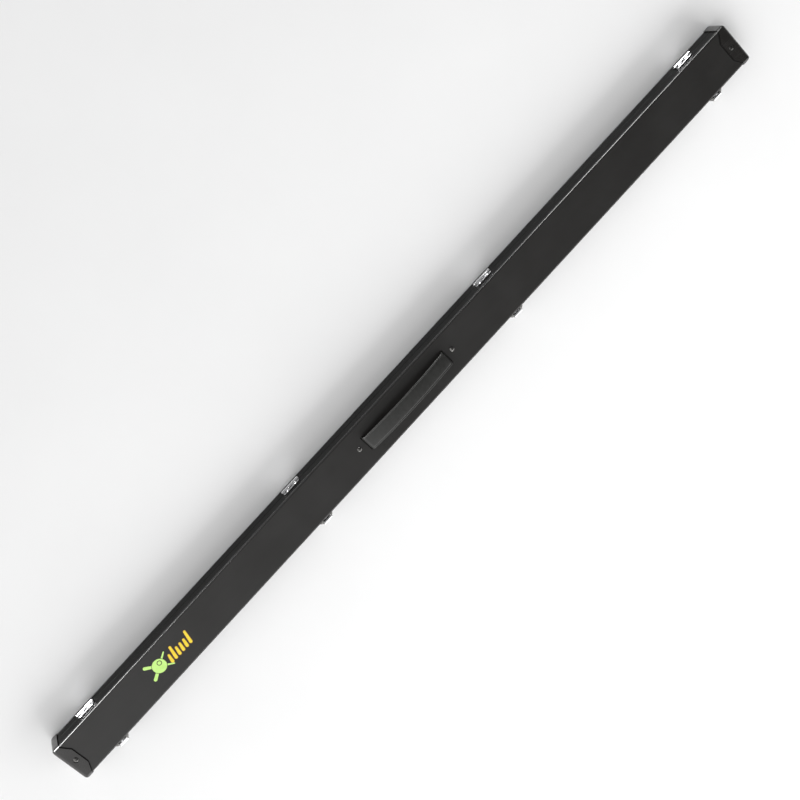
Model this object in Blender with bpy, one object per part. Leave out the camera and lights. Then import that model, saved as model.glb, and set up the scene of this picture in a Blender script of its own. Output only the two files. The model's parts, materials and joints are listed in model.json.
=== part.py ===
"""A slim hard case for one full-length cue.

The case lies on its wide base. X is its length, +Z is up through the handle, the hinges are at +Y and
the latches at -Y. Z = 0 is the flat underside of the base's end caps. Both halves are alike about the
seam plane, so most shapes are drawn in (y, h), where h is the distance from that plane.
"""

import math

import bmesh
import bpy
from mathutils import Matrix, Vector

# Driving dimensions, in metres.
LENGTH = 1.530
WIDTH = 0.070
HALF_DEPTH = 0.023
GAP = 0.0003
INSET = 0.0008
SEAM_GAP = 0.0003

PLATE = 0.0025
LIP_DEPTH = 0.0045
LIP_THICK = 0.0025
PANEL_ROUND = 0.003
PANEL_ROUND_STEPS = 8
GROOVE = 0.0008
RAIL = 0.006
RAIL_CHAMFER = 0.0004
RIM_THICK = 0.0022
RIM_HEIGHT = 0.0026
END_BOARD = 0.006

CAP_WALL = 0.0014
CAP_END = 0.003
CAP_ROUND = 0.0055
CAP_ROUND_STEPS = 4
CAP_SKIRT = 0.015
CAP_TAB = 0.0237
CAP_TAB_HALF = 0.0166
CAP_TAB_FOOT = 0.0315
CAP_TAB_ROUND = 0.004
CAP_RIVET_FROM_END = 0.0145
DIMPLE_DEPTH = 0.0012
DIMPLE_RADIUS = 0.005

CUE_GROOVE_RADIUS = 0.016
CUE_GROOVE_Y = -0.0082
CUE_GROOVE_DEPTH = 0.0175
REST_GROOVE_RADIUS = 0.006
REST_GROOVE_Y = 0.0178
REST_GROOVE_DEPTH = 0.012
LID_BUTT_DEPTH = 0.0125
LID_SHAFT_DEPTH = 0.006
BUTT_START = 0.250
LINING_SETBACK = 0.0005

STATIONS = (-0.686, -0.220, 0.220, 0.686)

HINGE_OFFSET = 0.003
HINGE_LENGTH = 0.034
KNUCKLES = 5
KNUCKLE_RADIUS = 0.0025
HINGE_PIN_RADIUS = 0.001
LEAF_THICK = 0.0012
LEAF_HEIGHT = 0.0092
LEAF_CHAMFER = 0.003
LEAF_START = 0.0008
LEAF_RIVET_X = 0.009
LEAF_RIVET_H = 0.0060

PIVOT_OUT = 0.0062
PIVOT_H = 0.0135
LEVER_WIDTH = 0.0156
LEVER_OUTER = 0.0035
LEVER_INNER = 0.0027
LEVER_HOOD = 120
LEVER_HOOD_STEPS = 9
LEVER_LIP = ((0.0030, -0.0160), (0.0043, -0.0198), (0.0039, -0.0212), (0.0024, -0.0205))
LEVER_CLAW = ((-0.0004, -0.0204), (-0.0004, -0.0194), (0.0016, -0.0190), (0.0021, -0.0160))
HUB_RADIUS = 0.0030
HUB_LENGTH = 0.0033
LATCH_PIN_RADIUS = 0.001
LATCH_PIN_HALF = 0.0109
EAR_GAP = 0.0003
EAR_ROUND = 0.0025
EAR_LENGTH = 0.0052
EAR_TAPER = 0.30
EAR_LOW = -0.0062
EAR_HIGH = 0.0034
LATCH_PLATE_WIDTH = 0.028
LATCH_PLATE_LOW = -0.0115
LATCH_PLATE_HIGH = 0.0038
LATCH_PLATE_CHAMFER = 0.002
LATCH_RIVET_X = 0.0106
LATCH_RIVET_Z = -0.0088
SPRING_RADIUS = 0.0019
SPRING_WIRE = 0.0003
SPRING_TURNS = 3.25
SPRING_PITCH = 0.001
SPRING_LEVER_LEG = (0.0017, -0.0075)
SPRING_PLATE_LEG = (-0.0038, -0.0065)

STRIKE_WIDTH = 0.024
STRIKE_TOP = 0.002
STRIKE_BOTTOM = 0.013
BEAD_OUT = 0.0036
BEAD_H = 0.005
BEAD_RADIUS = 0.0017
BEAD_LENGTH = 0.016
NECK_HALF = 0.0011
STRIKE_RIVET_X = 0.0088
STRIKE_RIVET_H = 0.0097

STRAP_WIDTH = 0.026
STRAP_THICK = 0.0032
STRAP_HEIGHT = 0.016
STRAP_SLOT_X = 0.0903
STRAP_CLEARANCE = 0.0008
STRAP_SHOULDER = 0.005
STRAP_SLOPE = math.radians(9.0)
STRAP_BEND = 0.003
TONGUE_TOP = 0.016
TONGUE_END = 0.1115
TONGUE_HOLE = (0.1020, 0.1090)
TONGUE_HOLE_HALF = 0.0023
HANDLE_RIVET_X = 0.1057
HANDLE_RIVET_Y = 0.002
KEEPER_X = (0.0970, 0.1150)
KEEPER_HALF = 0.0155
KEEPER_WALL = 0.0012

RIVET_SHANK = 0.0009
RIVET_DEPTH = 0.0045
SMALL_HEAD = 0.0015
SMALL_DOME = 0.0008
CAP_HEAD = 0.0041
CAP_DOME = 0.0008
BIG_SHANK = 0.0015
HANDLE_HEAD = 0.004
HANDLE_DOME = 0.0016
TAIL_RADIUS = 0.0026
TAIL_HEIGHT = 0.001

# Levels and faces that follow from them.
CAP_PROUD = CAP_WALL + GAP
SEAM_Z = CAP_PROUD + HALF_DEPTH
HALF_WIDTH = WIDTH / 2
SHELL_END = LENGTH / 2 - CAP_END - GAP
BOARD_INNER = SHELL_END - END_BOARD
LINING_END = BOARD_INNER - GAP
RAIL_INNER = HALF_WIDTH - RAIL
PLATE_UNDER = HALF_DEPTH - PLATE
CAP_OUTER = HALF_WIDTH + CAP_PROUD
CAP_FACE = HALF_DEPTH + CAP_PROUD
CAP_RIVET_X = LENGTH / 2 - CAP_RIVET_FROM_END
HINGE_Y = HALF_WIDTH + HINGE_OFFSET
PIVOT_Y = -(HALF_WIDTH + PIVOT_OUT)
PIVOT_Z = SEAM_Z + PIVOT_H
KEEPER_FLOOR = TONGUE_TOP - STRAP_THICK - GAP
HANDLE_TAIL = KEEPER_FLOOR - KEEPER_WALL - GAP

LID, BASE = 1, -1
BACK, FRONT = 1, -1
X_AXIS, Y_AXIS, Z_AXIS = Vector((1, 0, 0)), Vector((0, 1, 0)), Vector((0, 0, 1))


def clear_scene():
    for item in list(bpy.data.objects):
        bpy.data.objects.remove(item, do_unlink=True)


def material(name, colour, roughness, metallic=0.0):
    made = bpy.data.materials.new(name)
    made.use_nodes = True
    shader = made.node_tree.nodes["Principled BSDF"]
    shader.inputs["Base Color"].default_value = (*colour, 1.0)
    shader.inputs["Roughness"].default_value = roughness
    shader.inputs["Metallic"].default_value = metallic
    return made


# Outlines.


def arc(centre, radius, start, end, steps, squash=1.0):
    """Points on an arc from start to end degrees; squash flattens it along the second axis."""
    points = []
    for step in range(steps + 1):
        angle = math.radians(start + (end - start) * step / steps)
        points.append((centre[0] + radius * math.cos(angle), centre[1] + squash * radius * math.sin(angle)))
    return points


def ring(centre, radius, steps):
    return arc(centre, radius, 0, 360, steps)[:-1]


def rectangle(low, high):
    return [(low[0], low[1]), (high[0], low[1]), (high[0], high[1]), (low[0], high[1])]


def chamfered(half, low, high, cut, cut_low=True, cut_high=True):
    """An upright rectangle, half wide each side of zero, with its chosen corners cut at 45 degrees."""
    below = [(-half + cut, low), (half - cut, low), (half, low + cut)] if cut_low else [(-half, low), (half, low)]
    above = [(half, high - cut), (half - cut, high), (-half + cut, high), (-half, high - cut)]
    above = above if cut_high else [(half, high), (-half, high)]
    return below + above + ([(-half, low + cut)] if cut_low else [])


def rounded(points, radius, steps):
    """The same polyline with an arc of this radius at each inner point."""
    line = [points[0]]
    for before, corner, after in zip(points, points[1:], points[2:]):
        corner = Vector(corner)
        back = (Vector(before) - corner).normalized()
        ahead = (Vector(after) - corner).normalized()
        half = back.angle(ahead) / 2
        reach = radius / math.tan(half)
        centre = corner + (back + ahead).normalized() * radius / math.sin(half)
        start = corner + back * reach - centre
        turn = (corner + ahead * reach - centre).angle_signed(start)
        for step in range(steps + 1):
            line.append(tuple(centre + Matrix.Rotation(turn * step / steps, 2) @ start))
    return line + [points[-1]]


# Solids.


def prism(mesh, outline, place, near, far):
    """Adds the outline extruded from near to far; place(a, b, t) turns it into a point."""
    first = [mesh.verts.new(place(a, b, near)) for a, b in outline]
    second = [mesh.verts.new(place(a, b, far)) for a, b in outline]
    mesh.faces.new(first)
    mesh.faces.new(second[::-1])
    for index in range(len(outline)):
        after = (index + 1) % len(outline)
        mesh.faces.new((first[index], second[index], second[after], first[after]))


def along_x(side=LID, flip=1):
    """Outlines in (y, h) of one half, extruded along X."""
    return lambda y, h, x: (x, flip * y, SEAM_Z + side * h)


def along_h(side):
    """Outlines in (x, y), extruded across the depth of one half."""
    return lambda x, y, h: (x, y, SEAM_Z + side * h)


def turned(mesh, profile, start, axis, steps):
    """Adds a turned solid; profile holds (radius, distance along axis) and ends may be flat or pointed."""
    side = axis.orthogonal().normalized()
    up = axis.cross(side)
    rings = []
    for radius, distance in profile:
        middle = start + axis * distance
        if radius == 0:
            rings.append([mesh.verts.new(middle)])
            continue
        circle = []
        for step in range(steps):
            angle = 2 * math.pi * (step + 0.5) / steps
            circle.append(mesh.verts.new(middle + radius * (math.cos(angle) * side + math.sin(angle) * up)))
        rings.append(circle)
    for lower, upper in zip(rings, rings[1:]):
        for step in range(steps):
            after = (step + 1) % steps
            corners = [lower[step % len(lower)], lower[after % len(lower)]]
            corners += [upper[after % len(upper)], upper[step % len(upper)]]
            mesh.faces.new(list(dict.fromkeys(corners)))
    for end in (rings[0], rings[-1]):
        if len(end) > 1:
            mesh.faces.new(end)


def cylinder(mesh, radius, start, end, steps):
    axis = (end - start).normalized()
    turned(mesh, [(radius, 0), (radius, (end - start).length)], start, axis, steps)


def domed(head, dome, base):
    """The profile of a low dome whose rim starts at this base."""
    return [(head, base), (head, base + 0.25 * dome), (0.72 * head, base + 0.8 * dome), (0, base + dome)]


def clenched_rivet(surface, outward, head, dome, reach):
    """A rivet through a stack: its head starts GAP off the surface, its tail is spread at reach below it."""
    body = bmesh.new()
    profile = [(TAIL_RADIUS, -reach - TAIL_HEIGHT), (TAIL_RADIUS, -reach), (BIG_SHANK, -reach), (BIG_SHANK, GAP)]
    turned(body, profile + domed(head, dome, GAP), surface, outward, 14)
    data = finished(body, "clenched_rivet")
    smooth(data)
    return data


def plate_rivet(mesh, middle, outward, plate):
    """A small rivet set in a plate of this thickness: middle is on the plate's outer face."""
    embed = plate / 4
    profile = [(RIVET_SHANK, -plate - RIVET_DEPTH), (RIVET_SHANK, -embed)]
    profile += [(SMALL_HEAD, -embed)] + domed(SMALL_HEAD, SMALL_DOME, 0)
    turned(mesh, profile, middle, outward, 8)


def finished(mesh, name):
    bmesh.ops.recalc_face_normals(mesh, faces=mesh.faces)
    data = bpy.data.meshes.new(name)
    mesh.to_mesh(data)
    mesh.free()
    return data


def carved(name, body, steps):
    """The body's mesh after each Boolean step, an (operation, shape) pair, in turn."""
    solid = bpy.data.objects.new(name, finished(body, name))
    bpy.context.scene.collection.objects.link(solid)
    tools = []
    for operation, shape in steps:
        tool = bpy.data.objects.new(name + "_tool", finished(shape, name + "_tool"))
        bpy.context.scene.collection.objects.link(tool)
        tool.hide_render = True
        tool.display_type = "WIRE"
        change = solid.modifiers.new(operation, "BOOLEAN")
        change.operation = operation
        change.solver = "EXACT"
        change.object = tool
        tools.append(tool)
    bpy.context.view_layer.update()
    result = bpy.data.meshes.new_from_object(solid.evaluated_get(bpy.context.evaluated_depsgraph_get()))
    result.name = name
    for item in [solid, *tools]:
        bpy.data.objects.remove(item, do_unlink=True)
    return result


def smooth(data):
    data.shade_smooth()
    data.set_sharp_from_angle(angle=math.radians(35))


def pivot(name, place, parent=None):
    """An empty that carries everything that turns or slides about this place."""
    empty = bpy.data.objects.new(name, None)
    empty.empty_display_size = 0.02
    bpy.context.scene.collection.objects.link(empty)
    empty.parent = parent
    empty.matrix_world = Matrix.Translation(place)
    bpy.context.view_layer.update()
    return empty


def put(name, data, finish, parent, place=None):
    """Places a mesh. One drawn in world coordinates has no place: its origin goes to its parent's."""
    thing = bpy.data.objects.new(name, data)
    bpy.context.scene.collection.objects.link(thing)
    if place is None:
        data.transform(Matrix.Translation(-parent.matrix_world.translation))
        place = parent.matrix_world.translation
    thing.parent = parent
    thing.location = Vector(place) - parent.matrix_world.translation
    if not data.materials:
        data.materials.append(finish)
    return thing


# The shell of each half: panel, rails, end boards and caps.


def panel_outline():
    inner = HALF_WIDTH - LIP_THICK
    lip_end = HALF_DEPTH - LIP_DEPTH
    corner = (HALF_WIDTH - PANEL_ROUND, HALF_DEPTH - PANEL_ROUND)
    right = [(HALF_WIDTH, lip_end)] + arc(corner, PANEL_ROUND, 0, 90, PANEL_ROUND_STEPS)
    left = [(-y, h) for y, h in reversed(right)]
    return right + left + [(-inner, lip_end), (-inner, PLATE_UNDER), (inner, PLATE_UNDER), (inner, lip_end)]


def panel(side):
    body = bmesh.new()
    prism(body, panel_outline(), along_x(side), -SHELL_END, SHELL_END)
    pockets = bmesh.new()
    holes = bmesh.new()
    for end in (-1, 1):
        x = end * CAP_RIVET_X
        pocket_floor = HALF_DEPTH - DIMPLE_DEPTH
        circle = ring((x, 0), DIMPLE_RADIUS + 2 * GAP + 0.0002, 16)
        prism(pockets, circle, along_h(side), pocket_floor, HALF_DEPTH + CAP_PROUD)
        prism(holes, ring((x, 0), BIG_SHANK + GAP, 10), along_h(side), 0, pocket_floor + GAP)
    if side == LID:
        for end in (-1, 1):
            slot_half = STRAP_THICK / 2 + STRAP_CLEARANCE
            low = (end * STRAP_SLOT_X - slot_half, -STRAP_WIDTH / 2 - STRAP_CLEARANCE)
            high = (end * STRAP_SLOT_X + slot_half, STRAP_WIDTH / 2 + STRAP_CLEARANCE)
            prism(holes, rectangle(low, high), along_h(side), 0, CAP_FACE)
            circle = ring((end * HANDLE_RIVET_X, HANDLE_RIVET_Y), BIG_SHANK + GAP, 10)
            prism(holes, circle, along_h(side), 0, CAP_FACE)
    return carved("panel", body, [("DIFFERENCE", pockets), ("DIFFERENCE", holes)])


def rail_outline(side):
    seam = SEAM_GAP / 2
    shoulder = HALF_DEPTH - LIP_DEPTH - GROOVE
    tenon = HALF_WIDTH - LIP_THICK - GAP
    top = PLATE_UNDER - GAP
    outline = [(HALF_WIDTH - RAIL_CHAMFER, seam), (HALF_WIDTH, seam + RAIL_CHAMFER)]
    outline += [(HALF_WIDTH, shoulder), (tenon, shoulder), (tenon, top), (RAIL_INNER, top)]
    if side == BASE:
        rim = RAIL_INNER + RIM_THICK
        return outline + [(RAIL_INNER, -RIM_HEIGHT), (rim, -RIM_HEIGHT), (rim, seam)]
    rebate = RAIL_INNER + RIM_THICK + GAP
    return outline + [(RAIL_INNER, RIM_HEIGHT + GAP), (rebate, RIM_HEIGHT + GAP), (rebate, seam)]


def fixing_points(side, edge):
    """Where rivets enter a rail, as (x, h)."""
    if edge == BACK:
        return [(x + sign * LEAF_RIVET_X, LEAF_RIVET_H) for x in STATIONS for sign in (-1, 1)]
    if side == LID:
        return [(x + sign * LATCH_RIVET_X, PIVOT_H + LATCH_RIVET_Z) for x in STATIONS for sign in (-1, 1)]
    return [(x + sign * STRIKE_RIVET_X, STRIKE_RIVET_H) for x in STATIONS for sign in (-1, 1)]


def rail(side, edge):
    body = bmesh.new()
    prism(body, rail_outline(side), along_x(side, edge), -SHELL_END, SHELL_END)
    holes = bmesh.new()
    for x, h in fixing_points(side, edge):
        mouth = Vector((x, edge * (HALF_WIDTH + GAP), SEAM_Z + side * h))
        bottom = Vector((x, edge * (HALF_WIDTH - RIVET_DEPTH - GAP), mouth.z))
        cylinder(holes, RIVET_SHANK + GAP, mouth, bottom, 8)
    return carved("rail", body, [("DIFFERENCE", holes)])


def end_board(side, end):
    body = bmesh.new()
    half = RAIL_INNER - INSET
    outline = rectangle((-half, SEAM_GAP / 2), (half, PLATE_UNDER - GAP))
    prism(body, outline, along_x(side), end * BOARD_INNER, end * SHELL_END)
    return finished(body, "end_board")


def rounded_block(inner_x, outer_x, half, low, high, radius, side, round_end):
    """A block whose long upper edges, and if asked its end edges, are rounded."""
    body = bmesh.new()
    prism(body, rectangle((-half, low), (half, high)), along_x(side), inner_x, outer_x)
    top = SEAM_Z + side * high
    edges = []
    for edge in body.edges:
        ends = [corner.co for corner in edge.verts]
        at_top = all(abs(point.z - top) < GAP for point in ends)
        at_side = all(abs(abs(point.y) - half) < GAP for point in ends) and ends[0].y * ends[1].y > 0
        at_end = all(abs(point.x - outer_x) < GAP for point in ends)
        if (at_top and at_side) or (round_end and at_end and (at_top or at_side)):
            edges.append(edge)
    bmesh.ops.bevel(body, geom=edges, offset=radius, segments=CAP_ROUND_STEPS, profile=0.5, affect="EDGES")
    return body


def cap(side, end):
    far = LENGTH / 2
    start = far - CAP_TAB - 0.001
    body = rounded_block(end * start, end * far, CAP_OUTER, SEAM_GAP / 2, CAP_FACE, CAP_ROUND, side, True)
    hollow_end = end * (far - CAP_END)
    half = HALF_WIDTH + GAP
    hollow = rounded_block(
        end * (start - 0.001), hollow_end, half, -GAP, HALF_DEPTH + GAP, PANEL_ROUND + GAP, side, False
    )
    boss = bmesh.new()
    boss_floor = CAP_FACE - DIMPLE_DEPTH - CAP_WALL
    boss_ring = ring((end * CAP_RIVET_X, 0), DIMPLE_RADIUS + GAP, 16)
    prism(boss, boss_ring, along_h(side), boss_floor, HALF_DEPTH + CAP_PROUD / 2)
    skirt = bmesh.new()
    beyond = CAP_OUTER + 0.004
    line = [(far - CAP_SKIRT, -beyond), (far - CAP_SKIRT, -CAP_TAB_FOOT), (far - CAP_TAB, -CAP_TAB_HALF)]
    line = rounded(line + [(x, -y) for x, y in reversed(line)], CAP_TAB_ROUND, 3)
    line += [(start - 0.002, beyond), (start - 0.002, -beyond)]
    prism(skirt, [(end * x, y) for x, y in line], along_h(side), -0.004, CAP_FACE + 0.004)
    dimple = bmesh.new()
    outward = side * Z_AXIS
    middle = Vector((end * CAP_RIVET_X, 0, SEAM_Z + side * CAP_FACE))
    profile = [(DIMPLE_RADIUS - 0.0003, -DIMPLE_DEPTH), (DIMPLE_RADIUS, 0), (DIMPLE_RADIUS, GAP)]
    turned(dimple, profile, middle, outward, 16)
    hole = bmesh.new()
    cylinder(hole, BIG_SHANK + GAP, middle - outward * 0.004, middle, 10)
    steps = [("DIFFERENCE", hollow), ("UNION", boss), ("DIFFERENCE", skirt)]
    steps += [("DIFFERENCE", dimple), ("DIFFERENCE", hole)]
    return carved("cap", body, steps)


def cap_rivet(side, end):
    floor = CAP_FACE - DIMPLE_DEPTH
    surface = Vector((end * CAP_RIVET_X, 0, SEAM_Z + side * floor))
    return clenched_rivet(surface, side * Z_AXIS, CAP_HEAD, CAP_DOME, floor - PLATE_UNDER + GAP)


# The padded linings.


def lining_outline(grooves):
    """A block between the rails whose seam face carries half-round grooves (centre y, radius, depth)."""
    half = RAIL_INNER - INSET
    outline = [(-half, PLATE_UNDER - GAP), (-half, LINING_SETBACK)]
    for centre, radius, depth in grooves:
        straight = max(depth - radius, LINING_SETBACK)
        squash = (depth - straight) / radius
        if straight > LINING_SETBACK:
            outline.append((centre - radius, LINING_SETBACK))
        outline += arc((centre, straight), radius, 180, 0, 10, squash)
        if straight > LINING_SETBACK:
            outline.append((centre + radius, LINING_SETBACK))
    return outline + [(half, LINING_SETBACK), (half, PLATE_UNDER - GAP)]


def tail_pockets(side, ends):
    pockets = bmesh.new()
    for end in ends:
        floor = PLATE_UNDER - GAP - TAIL_HEIGHT - 2 * GAP
        prism(pockets, ring((end * CAP_RIVET_X, 0), TAIL_RADIUS + 2 * GAP, 10), along_h(side), floor, HALF_DEPTH)
    return pockets


def base_lining():
    body = bmesh.new()
    grooves = [(CUE_GROOVE_Y, CUE_GROOVE_RADIUS, CUE_GROOVE_DEPTH)]
    grooves += [(REST_GROOVE_Y, REST_GROOVE_RADIUS, REST_GROOVE_DEPTH)]
    prism(body, lining_outline(grooves), along_x(BASE), -LINING_END, LINING_END)
    return carved("base_lining", body, [("DIFFERENCE", tail_pockets(BASE, (-1, 1)))])


def lid_butt_lining():
    body = bmesh.new()
    outline = lining_outline([(CUE_GROOVE_Y, CUE_GROOVE_RADIUS, LID_BUTT_DEPTH)])
    prism(body, outline, along_x(LID), BUTT_START + GAP, LINING_END)
    return carved("lid_butt_lining", body, [("DIFFERENCE", tail_pockets(LID, (1,)))])


def lid_shaft_lining():
    body = bmesh.new()
    outline = lining_outline([(CUE_GROOVE_Y, CUE_GROOVE_RADIUS, LID_SHAFT_DEPTH)])
    prism(body, outline, along_x(LID), -LINING_END, BUTT_START)
    pockets = tail_pockets(LID, (-1,))
    room = 0.002
    floor = HANDLE_TAIL - TAIL_HEIGHT - GAP
    for end in (-1, 1):
        near = STRAP_SLOT_X - STRAP_THICK / 2 - room
        far = KEEPER_X[1] + GAP
        ends = sorted((end * near, end * far))
        half = KEEPER_HALF + GAP
        prism(pockets, rectangle((ends[0], -half), (ends[1], half)), along_h(LID), floor, HALF_DEPTH)
    return carved("lid_shaft_lining", body, [("DIFFERENCE", pockets)])


# The handle: strap, keepers and rivets.


def strap_line():
    """The strap's middle line for x < 0, as (x, h, heading), from its tucked-in end to the crown."""
    tongue_h = TONGUE_TOP - STRAP_THICK / 2
    slot = -STRAP_SLOT_X
    line = [(-TONGUE_END, tongue_h, 0.0)]
    steps = 4
    for step in range(steps + 1):
        heading = math.pi / 2 * step / steps
        x = slot - STRAP_BEND + STRAP_BEND * math.sin(heading)
        line.append((x, tongue_h + STRAP_BEND * (1 - math.cos(heading)), heading))
    shoulder_x = slot + STRAP_SHOULDER
    arch_start = shoulder_x - STRAP_SHOULDER * math.sin(STRAP_SLOPE)
    arch_radius = -arch_start / math.sin(STRAP_SLOPE)
    crown = HALF_DEPTH + STRAP_HEIGHT - STRAP_THICK / 2
    arch_h = crown - arch_radius * (1 - math.cos(STRAP_SLOPE))
    centre_h = arch_h - STRAP_SHOULDER * math.cos(STRAP_SLOPE)
    for step in range(steps + 2):
        heading = math.pi / 2 + (STRAP_SLOPE - math.pi / 2) * step / (steps + 1)
        x = shoulder_x - STRAP_SHOULDER * math.sin(heading)
        line.append((x, centre_h + STRAP_SHOULDER * math.cos(heading), heading))
    arch_steps = 6
    for step in range(1, arch_steps + 1):
        heading = STRAP_SLOPE * (1 - step / arch_steps)
        line.append((-arch_radius * math.sin(heading), crown - arch_radius * (1 - math.cos(heading)), heading))
    return line


def strap_outline():
    half = STRAP_THICK / 2
    upper = []
    lower = []
    for x, h, heading in strap_line():
        upper.append((x - half * math.sin(heading), h + half * math.cos(heading)))
        lower.append((x + half * math.sin(heading), h - half * math.cos(heading)))
    upper += [(-x, h) for x, h in reversed(upper[:-1])]
    lower += [(-x, h) for x, h in reversed(lower[:-1])]
    return upper + lower[::-1]


def handle_strap():
    body = bmesh.new()
    half = STRAP_WIDTH / 2
    prism(body, strap_outline(), lambda x, h, y: (x, y, SEAM_Z + h), -half, half)
    holes = bmesh.new()
    for end in (-1, 1):
        near, far = sorted((end * TONGUE_HOLE[0], end * TONGUE_HOLE[1]))
        low = HANDLE_RIVET_Y - TONGUE_HOLE_HALF
        high = HANDLE_RIVET_Y + TONGUE_HOLE_HALF
        outline = rectangle((near, low), (far, high))
        prism(holes, outline, along_h(LID), TONGUE_TOP - 2 * STRAP_THICK, TONGUE_TOP + GAP)
    return carved("handle_strap", body, [("DIFFERENCE", holes)])


def handle_keeper(end):
    """A tray under the panel, open towards the slot, in which the strap's end rides up and down."""
    body = bmesh.new()
    near, far = sorted((end * KEEPER_X[0], end * KEEPER_X[1]))
    outline = rectangle((near, -KEEPER_HALF), (far, KEEPER_HALF))
    prism(body, outline, along_h(LID), KEEPER_FLOOR - KEEPER_WALL, PLATE_UNDER - GAP)
    room = bmesh.new()
    inner = KEEPER_HALF - KEEPER_WALL
    near, far = sorted((end * (KEEPER_X[0] - KEEPER_WALL), end * (KEEPER_X[1] - KEEPER_WALL)))
    prism(room, rectangle((near, -inner), (far, inner)), along_h(LID), KEEPER_FLOOR, HALF_DEPTH)
    hole = bmesh.new()
    circle = ring((end * HANDLE_RIVET_X, HANDLE_RIVET_Y), BIG_SHANK + GAP, 10)
    prism(hole, circle, along_h(LID), HANDLE_TAIL - GAP, KEEPER_FLOOR + GAP)
    return carved("handle_keeper", body, [("DIFFERENCE", room), ("DIFFERENCE", hole)])


def handle_rivet(end):
    surface = Vector((end * HANDLE_RIVET_X, HANDLE_RIVET_Y, SEAM_Z + HALF_DEPTH))
    return clenched_rivet(surface, Z_AXIS, HANDLE_HEAD, HANDLE_DOME, HALF_DEPTH - HANDLE_TAIL)


# The hinges. Leaves are drawn about their own pin: y is out from the case, z up.


def knuckle_span(index):
    pitch = (HINGE_LENGTH + GAP) / KNUCKLES
    start = -HINGE_LENGTH / 2 + index * pitch
    return start, start + pitch - GAP


def leaf_outline(side):
    """The leaf seen from outside, as (x, h), notched round the other leaf's knuckles."""
    half = HINGE_LENGTH / 2
    edge = [(-half, LEAF_HEIGHT - LEAF_CHAMFER)]
    own = 1 if side == LID else 0
    notch = KNUCKLE_RADIUS + 0.0004
    for index in range(KNUCKLES):
        start, end = knuckle_span(index)
        if index % 2 == own:
            edge += [(start, LEAF_START), (end, LEAF_START)]
        else:
            low = -half if index == 0 else start - GAP
            high = half if index == KNUCKLES - 1 else end + GAP
            edge += [(low, notch), (high, notch)]
    edge += [(half, LEAF_HEIGHT - LEAF_CHAMFER), (half - LEAF_CHAMFER, LEAF_HEIGHT)]
    return edge + [(-half + LEAF_CHAMFER, LEAF_HEIGHT)]


def hinge_leaf(side):
    body = bmesh.new()
    wall = GAP - HINGE_OFFSET
    prism(body, leaf_outline(side), lambda x, h, y: (x, y, side * h), wall, wall + LEAF_THICK)
    knuckles = bmesh.new()
    own = 1 if side == LID else 0
    for index in range(own, KNUCKLES, 2):
        start, end = knuckle_span(index)
        cylinder(knuckles, KNUCKLE_RADIUS, X_AXIS * start, X_AXIS * end, 14)
    bores = bmesh.new()
    cylinder(bores, HINGE_PIN_RADIUS + GAP, X_AXIS * -HINGE_LENGTH, X_AXIS * HINGE_LENGTH, 10)
    rivets = bmesh.new()
    for sign in (-1, 1):
        middle = Vector((sign * LEAF_RIVET_X, wall + LEAF_THICK, side * LEAF_RIVET_H))
        plate_rivet(rivets, middle, Y_AXIS, LEAF_THICK)
    steps = [("UNION", knuckles), ("DIFFERENCE", bores), ("UNION", rivets)]
    return carved("hinge_leaf", body, steps)


def headed_pin(radius, grip, head):
    """A pin about its own middle whose heads stand just outside a stack grip wide on each side."""
    half = [(radius, grip), (head, grip), (head, grip + GAP), (0.6 * head, grip + 2 * GAP)]
    body = bmesh.new()
    turned(body, [(r, -t) for r, t in reversed(half)] + half, Vector(), X_AXIS, 10)
    data = finished(body, "hinge_pin")
    smooth(data)
    return data


# The latches, drawn about the lever's pin: first coordinate out from the case, second up.


def out_local(out, z, x):
    return (x, -out, z)


def latch_pin():
    body = bmesh.new()
    half = [(LATCH_PIN_RADIUS, LATCH_PIN_HALF), (0.6 * LATCH_PIN_RADIUS, LATCH_PIN_HALF + GAP)]
    turned(body, [(r, -t) for r, t in reversed(half)] + half, Vector(), X_AXIS, 10)
    data = finished(body, "latch_pin")
    smooth(data)
    return data


def tapered_ear(mesh, shape, inner, outer, floor):
    """An ear whose section shrinks to EAR_TAPER of its height above the floor at its outer end."""
    near = [mesh.verts.new(out_local(out, z, inner)) for out, z in shape]
    far = [mesh.verts.new(out_local(floor + (out - floor) * EAR_TAPER, z, outer)) for out, z in shape]
    mesh.faces.new(near)
    mesh.faces.new(far[::-1])
    for index in range(len(shape)):
        after = (index + 1) % len(shape)
        mesh.faces.new((near[index], far[index], far[after], near[after]))


def latch_plate():
    body = bmesh.new()
    wall = GAP - PIVOT_OUT
    face = wall + LEAF_THICK
    half = LATCH_PLATE_WIDTH / 2
    outline = chamfered(half, LATCH_PLATE_LOW, LATCH_PLATE_HIGH, LATCH_PLATE_CHAMFER)
    prism(body, outline, lambda x, z, out: (x, -out, z), wall, face)
    ears = bmesh.new()
    inner = LEVER_WIDTH / 2 + EAR_GAP
    floor = face - LEAF_THICK / 2
    shape = [(floor, EAR_LOW)] + arc((0, 0), EAR_ROUND, -60, 75, 6) + [(floor, EAR_HIGH)]
    for sign in (-1, 1):
        tapered_ear(ears, shape, sign * inner, sign * (inner + EAR_LENGTH), floor)
    bores = bmesh.new()
    cylinder(bores, LATCH_PIN_RADIUS + GAP, X_AXIS * -half, X_AXIS * half, 10)
    rivets = bmesh.new()
    for sign in (-1, 1):
        plate_rivet(rivets, Vector((sign * LATCH_RIVET_X, -face, LATCH_RIVET_Z)), -Y_AXIS, LEAF_THICK)
    steps = [("UNION", ears), ("DIFFERENCE", bores), ("UNION", rivets)]
    return carved("latch_plate", body, steps)


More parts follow.
